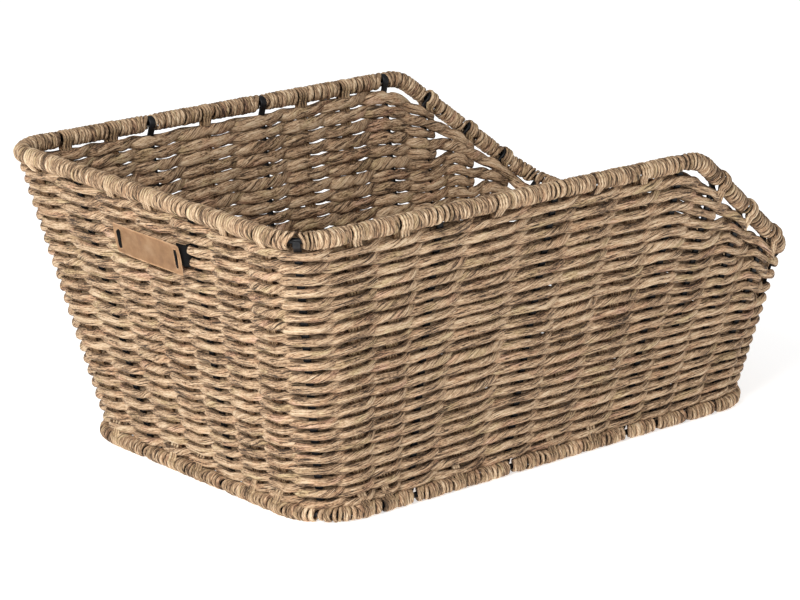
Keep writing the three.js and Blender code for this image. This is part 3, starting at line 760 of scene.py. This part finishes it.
floor_level = CROSS_LEVEL + FLOOR_BEND
cross_x = [wall_point(stake_place(at, foot, floor_level), floor_level)[0] for at, foot, _ in SIDE_STAKES]
marks = np.array([cross_x[0] - BAND_END, *cross_x, cross_x[-1] + BAND_END])
xs = np.linspace(marks[0], marks[-1], BAND_STEPS)
span = np.clip(np.searchsorted(marks, xs, side="right") - 1, 0, len(marks) - 2)
share = (xs - marks[span]) / (marks[span + 1] - marks[span])
ease = 0.5 - 0.5 * np.cos(math.pi * share)
end_lines = []
for half_name, places in (("rear_half", [7 - at for at, _ in END_STAKES]),
                          ("front_half", [2 + at for at, _ in END_STAKES])):
    limit = WALL_FOOT[half_name] - FLOOR_EDGE
    end_lines.append([-limit, *(wall_point(place, LONG_LEVEL + FLOOR_BEND)[1] for place in places), limit])
rise = (xs - WALL_FOOT["rear"]) / (WALL_FOOT["front"] - WALL_FOOT["rear"])
lines = [rear + (front - rear) * rise for rear, front in zip(*end_lines)]
for index in range(len(lines) - 1):
    sides = (-1.0) ** (index + np.arange(len(cross_x)))
    lifts = BAND_LIFT * np.array([sides[0], *sides, sides[-1]])
    level = CROSS_LEVEL + lifts[span] + (lifts[span + 1] - lifts[span]) * ease
    low = lines[index] + BAND_CLEAR
    breadth = lines[index + 1] - BAND_CLEAR - low
    cords = max(int(np.mean(breadth) / BAND_CORD), 1)
    section = round_section(TURN_SIDES, BAND_CORD_HALF * np.mean(breadth) / cords, 0.5 * BAND_THICKNESS)
    band = []
    for k in range(cords):
        knots = rng.uniform(-BAND_WANDER, BAND_WANDER, WANDER_KNOTS)
        wander = np.interp(xs, np.linspace(marks[0], marks[-1], WANDER_KNOTS), knots)
        path = np.stack([xs, low + breadth * (k + 0.5) / cords + wander, level], axis=1)
        rings = sweep(path, np.array([0.0, 1.0, 0.0]), section)
        band.append(strand(rings, lay=BAND_LAY, tone=rng.normal()))
    place_piece(f"floor_band_{index + 1:02d}", band, wrap_cord, "woven_cord", f"floor_strip_{index + 1:02d}")

# Woven rows: two cords twine round every stake, one outside and one inside, and cross between
# stakes. The lower rows go all round. The upper ones turn back at the last stake below the slope.

ROW_COUNT = 22
TURN_BACKS = {18: 9, 20: 9, 22: 9, 15: 10, 17: 10, 21: 10, 11: 11, 13: 11, 16: 11}
FRONT_CORNER = 1.5
FRONT_MIDDLE = 2.5
TURN_FADE = 0.72
WEAVE_BOTTOM = 8.9
WEAVE_RIM_REACH = 6.8
BEND_OPENING = 4.5
BEND_OPENING_PLACE = 0.765
BEND_OPENING_REACH = 0.035
ROW_PITCH = (RIM_HEIGHT - WEAVE_RIM_REACH - WEAVE_BOTTOM) / ROW_COUNT
FRONT_PITCH = 6.95
FRONT_EASE = 0.75
EASE_RANGE = (0.9, 1.3)
EVEN_END = 0.35
MIDDLE_HEIGHT = 105.0
SWAY_WAVES = (3, 5, 8, 13, 21)
SWAY_SIZE = 0.9
SWAY_CLIMB = 0.05
TWINE_REACH = 3.2
TWINE_RISE = 0.17
TWINE_THICKNESS = 3.7
OUTER_HEIGHT = 5.6
INNER_HEIGHT = 8.8
CROSSING_HEIGHT = 6.3
TWINE_STRAIGHT = 0.08
TWINE_EASE = 1.35
INNER_WAIST = 3.0
WAIST_REACH = 0.055
TWINE_TILT = 2.0
TWINE_SIDES = 18
TWINE_STEP = 2.0
STEPS_PER_STAKE = 24
WANDER_STEP = 30.0
PLIES = 3
PLY_TURN = 60.0
PLY_DEPTH = 0.045
# Painted shade in the crevices between the plies.
PLY_PAINTED_SHADE = 0.14
SPIN_WANDER = 0.5
HEIGHT_WANDER = 0.08
THICKNESS_WANDER = 0.05
TONE_WANDER = 0.75
LAY_LOOSE = 0.10
LAY_TIGHT = 0.65
TURN_BACK = 7.5
TURN_BACK_HEIGHT = 6.2
TURN_BACK_STEPS = 9
WEAVE_FIBRES = (*WRAP_FIBRES[:2], (0.495, 0.338, 0.208), (0.660, 0.520, 0.360))


def side_place(place):
    """Places as the near side counts them from its rear. The far side's are counted alike."""
    loop = np.mod(place, PLAN_ROUND)
    return np.where(loop < FRONT_MIDDLE, loop, 2.0 * FRONT_MIDDLE - loop)


upwards = wall_upward(PLACES)
mid_ring = closed_ring(wall_point(PLACES, MIDDLE_HEIGHT), upwards)
mid_total = mid_ring[0][-1]
rim_centre, _, rim_up, _ = rim_ring[1]
rim_reach = WEAVE_RIM_REACH / np.sum(rim_up * upwards, axis=1)
weave_tops = rim_centre[:, 2] - rim_reach * upwards[:, 2]
weave_tops -= BEND_OPENING * np.exp(-((side_place(PLACES) - BEND_OPENING_PLACE) / BEND_OPENING_REACH) ** 2)


def place_at(distance):
    """The place on the plan at a distance along the wall at middle height."""
    rounds = np.floor(distance / mid_total)
    return np.interp(distance - rounds * mid_total, mid_ring[0], PLACES) + PLAN_ROUND * rounds


def presence(row, place):
    """How much of a row there is at a place: it fades past the stake it turns back at."""
    if row + 1 not in TURN_BACKS:
        return np.ones(np.shape(place))
    along = np.clip(side_place(place), 0.0, FRONT_CORNER)
    marks = [at for at, _, _ in SIDE_STAKES] + [FRONT_CORNER]
    last, after = marks[TURN_BACKS[row + 1] - 1], marks[TURN_BACKS[row + 1]]
    return 1.0 - np.clip((along - last) / (TURN_FADE * (after - last)), 0.0, 1.0)


def row_level(row, share, place):
    """Height in a row, from its lower edge at share 0 to its upper edge at 1.

    The rows share the wall's height. Near the slope the lower ones fall slowly and evenly, so the upper ones
    lie a little apart before it and close together under it.
    """
    shares = np.array([presence(r, place) for r in range(ROW_COUNT)])
    total = shares.sum(axis=0)
    below = (shares[:row].sum(axis=0) + share * shares[row]) / total
    loop = np.mod(place, PLAN_ROUND)
    height = np.interp(loop, PLACES, weave_tops) - WEAVE_BOTTOM
    front = np.clip((side_place(place) - EVEN_END) / (FRONT_CORNER - EVEN_END), 0.0, 1.0)
    falling = ROW_PITCH + (FRONT_PITCH - ROW_PITCH) * front ** FRONT_EASE
    lowest = np.where(loop < 2.0 * FRONT_MIDDLE, falling, ROW_PITCH)
    ease = np.clip(lowest * total / height, *EASE_RANGE)
    return WEAVE_BOTTOM + height * (ease * below + (1.0 - ease) * below ** 3)


sway_rng = np.random.default_rng(SEED + 1)
SWAYS = [
    (k, sway_rng.uniform(0, 2 * math.pi), sway_rng.uniform(-SWAY_CLIMB, SWAY_CLIMB), SWAY_SIZE / math.sqrt(k))
    for k in SWAY_WAVES
]


def sway(distance, height):
    """How far the hand-made rows wander up and down, alike for rows that lie on each other."""
    turn = 2 * math.pi * distance / mid_total
    return sum(size * np.sin(k * turn + start + climb * height) for k, start, climb, size in SWAYS)


def stake_marks(row):
    """How far along the wall each stake lies at a row's height, for three times round."""
    places = [stake_place(place, foot, row_level(row, 0.5, place)) for place, foot, _ in STAKES]
    marks = np.array([ring_distance(mid_ring, place) for place in places])
    return np.concatenate([marks - mid_total, marks, marks + mid_total])


def twine_path(row, marks, along, side):
    """Points of one of a row's two cords at stake numbers along the row, and the cord's height at each."""
    distance = np.interp(along, STAKE_NUMBERS, marks)
    place = place_at(distance)
    phase = along + row
    nearest = np.round(phase)
    past = np.clip((np.abs(phase - nearest) - TWINE_STRAIGHT) / (0.5 - TWINE_STRAIGHT), 0.0, 1.0)
    angle = math.pi * (nearest + 0.5 * np.sign(phase - nearest) * past ** TWINE_EASE)
    swing = np.cos(angle)
    climb = np.sin(angle + math.radians(TWINE_TILT))
    climb = climb * np.abs(climb)
    pitch = row_level(row, 1.0, place) - row_level(row, 0.0, place)
    height = row_level(row, 0.5, place) + side * TWINE_RISE * pitch * climb + sway(distance, row * ROW_PITCH)
    points = wall_point(place, height, side * TWINE_REACH * swing)
    outside = side * swing > 0.0
    widest = np.where(outside, OUTER_HEIGHT, INNER_HEIGHT)
    waist = np.where(outside, 0.0, INNER_WAIST) * np.exp(-((phase - nearest) / WAIST_REACH) ** 2)
    fullness = np.where(outside, swing ** 2, np.abs(swing))
    tall = (CROSSING_HEIGHT + (widest - CROSSING_HEIGHT) * fullness - waist) * pitch / ROW_PITCH
    return points, tall


def twine(path, tall, rng):
    """A closed cord of three plies that wind round each other, from its path and its height at each point."""
    path, tall = np.vstack([path, path[:1]]), np.append(tall, tall[0])
    length = lengths_along(path)
    total = length[-1]
    samples = int(total / TWINE_STEP)
    at = np.linspace(0.0, total, samples, endpoint=False)
    knots = max(int(total / WANDER_STEP), 4)
    marks = np.linspace(0.0, total, knots + 1)

    def wander(size):
        values = rng.normal(0.0, size, knots + 1)
        values[-1] = values[0]
        return np.interp(at, marks, values)

    twist = LAY_LOOSE + LAY_TIGHT * np.clip(wander(1.0) - 0.3, 0.0, 1.0)
    wound = np.cumsum(twist) * total / samples
    spin = 2 * math.pi * round(total / PLY_TURN) * at / total + wander(SPIN_WANDER)
    ridge = np.abs(np.cos(0.5 * PLIES * (spokes(TWINE_SIDES) - spin[:, None])))
    lobes = 1.0 + PLY_DEPTH * (ridge - 0.65) * 2.0
    # Painted shade: darker in the crevices between the plies and towards the cord's two edges.
    painted_shade = PLY_PAINTED_SHADE * np.clip(1.0 - ridge * 2.2, 0.0, 1.0) + painted_edge_shade(TWINE_SIDES)
    half_tall = 0.5 * np.interp(at, length, tall) * (1.0 + np.clip(wander(HEIGHT_WANDER), -0.2, 0.1))
    half_thick = 0.5 * TWINE_THICKNESS * (1.0 + wander(THICKNESS_WANDER))
    section = round_section(TWINE_SIDES, half_tall[:, None], half_thick[:, None]) * lobes[..., None]
    rings = sweep(read_path(at, length, path), UPRIGHT, section, closed=True)
    return strand(rings, closed=True, lay=wound, tone=wander(TONE_WANDER), painted_shade=painted_shade)


weave_cord = cord_material("twined_cord", WEAVE_FIBRES, 0.9, 0.7)
count = len(STAKES)
STAKE_NUMBERS = np.arange(-count, 2 * count)
for row in range(ROW_COUNT):
    strands = []
    marks = stake_marks(row)
    passed = [n for n in range(count) if presence(row, place_at(marks[count + n])) > 0.99]
    if len(passed) == count:
        along = np.linspace(0.0, count, count * STEPS_PER_STAKE, endpoint=False)
        for side in (1.0, -1.0):
            strands.append(twine(*twine_path(row, marks, along, side), rng))
    else:
        first, last = passed[0], passed[-1]
        along = np.linspace(first, last, (last - first) * STEPS_PER_STAKE + 1)
        there, tall = twine_path(row, marks, along, 1.0)
        back, tall_back = twine_path(row, marks, along[::-1], -1.0)

        def turn_back(number, side):
            distance = np.interp(number, STAKE_NUMBERS, marks)
            angle = np.linspace(0.0, math.pi, TURN_BACK_STEPS)[1:-1]
            at = distance + side * TURN_BACK * np.sin(angle)
            height = row_level(row, 0.5, place_at(at)) + sway(at, row * ROW_PITCH)
            swing = math.cos(math.pi * (number + row))
            return wall_point(place_at(at), height, side * swing * TWINE_REACH * np.cos(angle))

        end, start = turn_back(last, 1.0), turn_back(first, -1.0)
        loop_heights = np.full(len(end), TURN_BACK_HEIGHT)
        heights = np.concatenate([tall, loop_heights, tall_back, loop_heights])
        strands.append(twine(np.vstack([there, end, back, start]), heights, rng))
    place_piece(f"twined_row_{row + 1:02d}", strands, weave_cord, "woven_cord", f"weaver_row_{row + 1:02d}")

# Rim: a 4 mm steel wire wound with the same cord as the base ring. The steel stakes are bent round it on
# its inside, at the corners on its outside, and the turns beside them close over them on the other side.
# The cord stakes' own cords are taken round it. On the slope a lashing ties the next row up by each bend.

RIM_WIRE_STEP = 5.0
RIM_WRAP_RADIUS = 6.1
RIM_SLANT = 1.1
RIM_CLOSING = 3.2
RIM_CLOSING_TOWARD = 25.0
CORNER_CLOSING_TOWARD = 155.0
NOTCH_HALF = 2.8
BAR_NOTCH_HALF = 2.4
LASHING_DROP = 12.0
TIE_DROP = 13.0
TIE_INSET = 1.5
TIE_COVER = 1.2
TIE_SHARE = 3.0
TIE_RADIUS = 7.6
SLOPE_STAKES = (9, 10, 11)

place_piece("rim_ring_wire", wire(rim_ring, RIM_WIRE_STEP), steel, "black_steel", "rim_wire")
slope_places = {round(SIDE_STAKES[number - 1][0], 3) for number in SLOPE_STAKES}
lashing_width = LASHING_CORDS * LASHING_CORD
rim_gaps = []
rim_lashings = []
for place, foot, kind in STAKES:
    top, upward, reach, hook = stake_top(place, foot)
    half = NOTCH_HALF if kind == "cord" else BAR_NOTCH_HALF
    gap = [hook, half, half, 0.0, 0.0]
    if kind == "cord":
        rim_lashings.append((hook, top - upward * LASHING_DROP, RIM_WRAP_RADIUS))
    else:
        gap[3:] = RIM_CLOSING, CORNER_CLOSING_TOWARD if at_corner(place) else RIM_CLOSING_TOWARD
        if round(float(side_place(place)), 3) in slope_places:
            after, downhill = (2, 1.0) if place % PLAN_ROUND < FRONT_MIDDLE else (1, -1.0)
            gap[after] += lashing_width - TIE_SHARE
            tied = hook + downhill * (0.5 * lashing_width - TIE_COVER)
            under = ring_at(rim_ring, tied)[0] - TIE_INSET * outward(place)
            under[2] -= TIE_DROP
            rim_lashings.append((tied, under, TIE_RADIUS))
    rim_gaps.append(gap)
rim_cords = wound_ring(rim_ring, rim_gaps, RIM_WRAP_RADIUS, RIM_SLANT, rng)
for distance, foot, radius in rim_lashings:
    rim_cords += lashing(rim_ring, distance, foot, radius, rng)
place_piece("rim_wrapping", rim_cords, wrap_cord, "woven_cord", "rim_wrap")

# Label: a bare tab of tan leather, 1.8 mm thick, cut with two upright slots. It bows a little off the wall.
# A black webbing strap behind it comes up in both slots, and passes its end to go in between two rows.

TAB_PLACE = 6.5
TAB_LENGTH = 74.0
TAB_HEIGHT = 21.0
TAB_THICKNESS = 1.8
TAB_CORNER = 1.5
TAB_CELL = 0.75
TAB_BEVEL = 0.3
TAB_BOW = 0.8
TAB_WARP = 0.25
TAB_SHIFT = -4.0
TAB_LIFT = 1.6
TAB_RIM_DISTANCE = 33.0
TAB_LEVEL = 7.5
FLAT_FACE = 0.92
SLOT_INSET = 5.5
SLOT_WIDTH = 3.0
SLOT_HEIGHT = 13.5
STRAP_HEIGHT = 12.5
STRAP_THICKNESS = 1.2
STRAP_END = 3.8
STRAP_END_HEIGHT = 15.5
STRAP_END_RISE = 2.8
STRAP_LEVEL = 5.9
STRAP_RIB = 1.1
STRAP_THREAD = 0.8
LEATHER_DARK = (0.330, 0.170, 0.075)
LEATHER_TAN = (0.480, 0.270, 0.130)
LEATHER_PALE = (0.620, 0.400, 0.230)
STRAP_DARK = (0.004, 0.004, 0.004)
STRAP_WORN = (0.008, 0.0075, 0.007)

tab_up = wall_upward(TAB_PLACE)
tab_across = np.array([0.0, -1.0, 0.0])
tab_out = np.cross(tab_across, tab_up)
tab_middle = wall_point(TAB_PLACE, RIM_HEIGHT - TAB_RIM_DISTANCE)
tab_middle[1] = TAB_SHIFT
half_length = 0.5 * TAB_LENGTH
half_height = 0.5 * TAB_HEIGHT
slot_at = half_length - SLOT_INSET


def tab_point(across, up, out):
    """A point by the tab: across towards the near side, up the wall and out of it."""
    return tab_middle + across * tab_across + up * tab_up + out * tab_out


def leather():
    """Vegetable-tanned leather: fine pores, soft mottling, and paler cut edges."""
    node, calc, remap, ramp, surface = start_material("tan_leather")
    where = node("TexCoord", output="Object")
    mottle = node("TexNoise", {"Vector": where, "Scale": 90.0, "Detail": 5.0, "Roughness": 0.65})
    pores = node("TexVoronoi", {"Vector": where, "Scale": 1300.0, "Randomness": 1.0})
    grain = node("TexNoise", {"Vector": where, "Scale": 700.0, "Detail": 4.0})
    edge = node("Attribute", output="Fac", attribute_name="cut_edge")
    tan = ramp(mottle, (0.25, LEATHER_DARK), (0.5, LEATHER_TAN), (0.75, LEATHER_PALE))
    return surface({
        "Base Color": node("Mix", {0: edge, 6: tan, 7: (*LEATHER_PALE, 1.0)}, 2, data_type="RGBA"),
        "Roughness": remap(mottle, 0.55, 0.75),
        "Normal": node("Bump", {"Height": calc("ADD", pores, grain), "Strength": 0.35, "Distance": 0.00015}),
    })


def webbing():
    """Woven black webbing: ribs along it, crossed by fine threads."""
    node, calc, _, ramp, surface = start_material("black_webbing")
    place = node("UVMap", uv_map="fibre")
    waves = []
    for axis, spacing in (("Y", STRAP_RIB), ("X", STRAP_THREAD)):
        along = node("SeparateXYZ", {"Vector": place}, axis)
        waves.append(calc("SINE", calc("MULTIPLY", along, 2 * math.pi / spacing)))
    fuzz = node("TexNoise", {"Vector": place, "Scale": 2.0, "Detail": 4.0})
    height = calc("ADD", calc("MULTIPLY", *waves), fuzz)
    return surface({
        "Base Color": ramp(fuzz, (0.4, STRAP_DARK), (0.8, STRAP_WORN)),
        "Roughness": 0.85,
        "Normal": node("Bump", {"Height": height, "Strength": 0.6, "Distance": 0.0002}),
        "Specular IOR Level": 0.12,
    })


def tab_mesh():
    """The tab: a sheet of small cells without the slots, made thick, with its edges rounded over."""
    xs = np.linspace(-half_length, half_length, round(TAB_LENGTH / TAB_CELL) + 1)
    ys = np.linspace(-half_height, half_height, round(TAB_HEIGHT / TAB_CELL) + 1)
    made = bmesh.new()
    grid = {}

    def corner(i, j):
        if (i, j) not in grid:
            x, y = xs[i], ys[j]
            over_x = abs(x) - (half_length - TAB_CORNER)
            over_y = abs(y) - (half_height - TAB_CORNER)
            if over_x > 0.0 and over_y > 0.0:
                share = max(over_x, over_y) / math.hypot(over_x, over_y)
                x -= math.copysign(over_x * (1.0 - share), x)
                y -= math.copysign(over_y * (1.0 - share), y)
            bow = TAB_BOW * (1.0 - (2.0 * x / TAB_LENGTH) ** 2) + TAB_WARP * math.sin(0.11 * x + 0.3 * y)
            lift = TAB_LIFT * max(x / TAB_LENGTH + 0.2, 0.0)
            grid[i, j] = made.verts.new(tab_point(x, y, TAB_LEVEL + bow + lift) * METRES)
        return grid[i, j]

    for i in range(len(xs) - 1):
        for j in range(len(ys) - 1):
            x, y = 0.5 * (xs[i] + xs[i + 1]), 0.5 * (ys[j] + ys[j + 1])
            if abs(abs(x) - slot_at) < 0.5 * SLOT_WIDTH and abs(y) < 0.5 * SLOT_HEIGHT:
                continue
            made.faces.new([corner(i, j), corner(i + 1, j), corner(i + 1, j + 1), corner(i, j + 1)])
    bmesh.ops.solidify(made, geom=made.faces[:], thickness=TAB_THICKNESS * METRES)
    bmesh.ops.recalc_face_normals(made, faces=made.faces[:])
    made.normal_update()
    out = Vector(tab_out)
    rims = [e for e in made.edges if e.calc_face_angle(0.0) > 1.0]
    bmesh.ops.bevel(made, geom=rims, offset=TAB_BEVEL * METRES, segments=3, affect="EDGES", profile=0.5)
    made.normal_update()
    mesh = bpy.data.meshes.new("leather_tab")
    made.to_mesh(mesh)
    edges = [0.0 if abs(v.normal.dot(out)) > FLAT_FACE else 1.0 for v in made.verts]
    made.free()
    layer = mesh.attributes.new(name="cut_edge", type="FLOAT", domain="POINT")
    layer.data.foreach_set("value", edges)
    mesh.polygons.foreach_set("use_smooth", np.ones(len(mesh.polygons), bool))
    return mesh


def strap_strand(path, height, rise):
    """A piece of the strap along a path across the tab."""
    points = smooth_path(np.array([tab_point(x, rise, z) for x, z in path]), 6)
    return strand(sweep(points, tab_up, bar_section(0.5 * height, 0.5 * STRAP_THICKNESS)))


strap_face = TAB_LEVEL + 0.5 * TAB_THICKNESS
strap_end = half_length + STRAP_END
slot_path = [(slot_at - 4.0, STRAP_LEVEL), (slot_at - 1.4, strap_face - 0.8), (slot_at, strap_face + 0.2),
             (slot_at + 0.6, strap_face - 2.0)]
end_path = [(slot_at, STRAP_LEVEL), (slot_at + 4.0, STRAP_LEVEL), (strap_end - 2.0, STRAP_LEVEL - 0.3),
            (strap_end - 0.3, STRAP_LEVEL - 2.0), (strap_end, STRAP_LEVEL - 6.0)]
mirrored = [(-x, z) for x, z in reversed(slot_path)]
strap_strands = [
    strap_strand(mirrored + [(0.0, STRAP_LEVEL)] + slot_path, STRAP_HEIGHT, 0.0),
    strap_strand(end_path, STRAP_END_HEIGHT, STRAP_END_RISE),
]
place_piece("leather_tab", tab_mesh(), leather(), "tan_leather", "label_tab")
place_piece("tab_strap", strap_strands, webbing(), "black_strap", "label_strap")

# Floor and light for the picture: a pale floor, a large soft light from the left and a weak one from
# the right.

FLOOR_HALF = 3.0
LIT_HEIGHT = 0.1
WORLD_STRENGTH = 0.41
WHITE = (1.0, 1.0, 1.0, 1.0)

floor_mesh = bpy.data.meshes.new("studio_floor")
floor_corners = [(x * FLOOR_HALF, y * FLOOR_HALF, 0) for x, y in ((-1, -1), (1, -1), (1, 1), (-1, 1))]
floor_mesh.from_pydata(floor_corners, [], [(0, 1, 2, 3)])
*_, floor_surface = start_material("studio_floor")
floor_mesh.materials.append(floor_surface({
    "Base Color": (0.93, 0.93, 0.93, 1.0),
    "Roughness": 0.9,
    "Emission Color": WHITE,
    "Emission Strength": 0.58,
}))
studio_floor = add_object("studio_floor", floor_mesh)

world = bpy.data.worlds.new("studio")
world.use_nodes = True
background = world.node_tree.nodes["Background"].inputs
background["Color"].default_value = WHITE
background["Strength"].default_value = WORLD_STRENGTH
bpy.context.scene.world = world
bpy.context.scene.view_settings.view_transform = "Standard"


def soft_light(name, place, size, power):
    """A square soft light that faces the basket."""
    data = bpy.data.lights.new(name, "AREA")
    data.size = size
    data.energy = power
    light = add_object(name, data)
    light.location = place
    light.rotation_euler = (Vector(place) - Vector((0.0, 0.0, LIT_HEIGHT))).to_track_quat("Z", "Y").to_euler()


soft_light("key_light", (-1.9, -0.72, 1.3), 1.3, 52.0)
soft_light("fill_light", (0.6, -1.9, 1.2), 1.2, 6.0)
